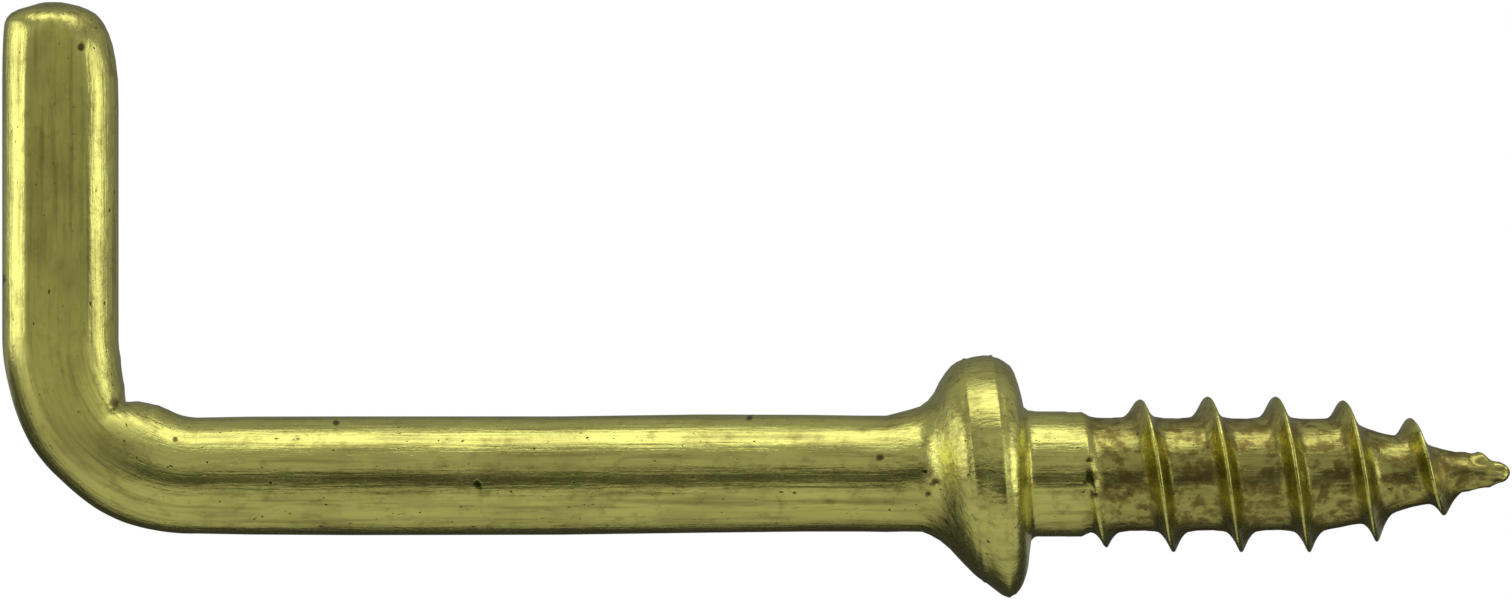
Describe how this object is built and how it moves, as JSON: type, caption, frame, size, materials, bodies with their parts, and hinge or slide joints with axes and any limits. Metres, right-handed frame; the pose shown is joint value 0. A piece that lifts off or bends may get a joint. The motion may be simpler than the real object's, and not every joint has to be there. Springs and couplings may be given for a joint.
{
  "type": "cup hook",
  "caption": "Square-bend cup hook of brass wire: straight upright arm, round shank, shoulder collar and gimlet-pointed wood screw.",
  "frame": {"origin": "middle of the collar's flat seating face, on the axis of the screw", "axes": "+X along the screw to its point, +Z the way the hook's arm stands, +Y across the hook"},
  "size_m": [0.0381, 0.006, 0.0149],
  "materials": {
    "brass": "unlacquered bright wire, satin from rolling and drawing, slightly tarnished"
  },
  "bodies": {
    "root": {"hook": "brass"}
  },
  "joints": []
}
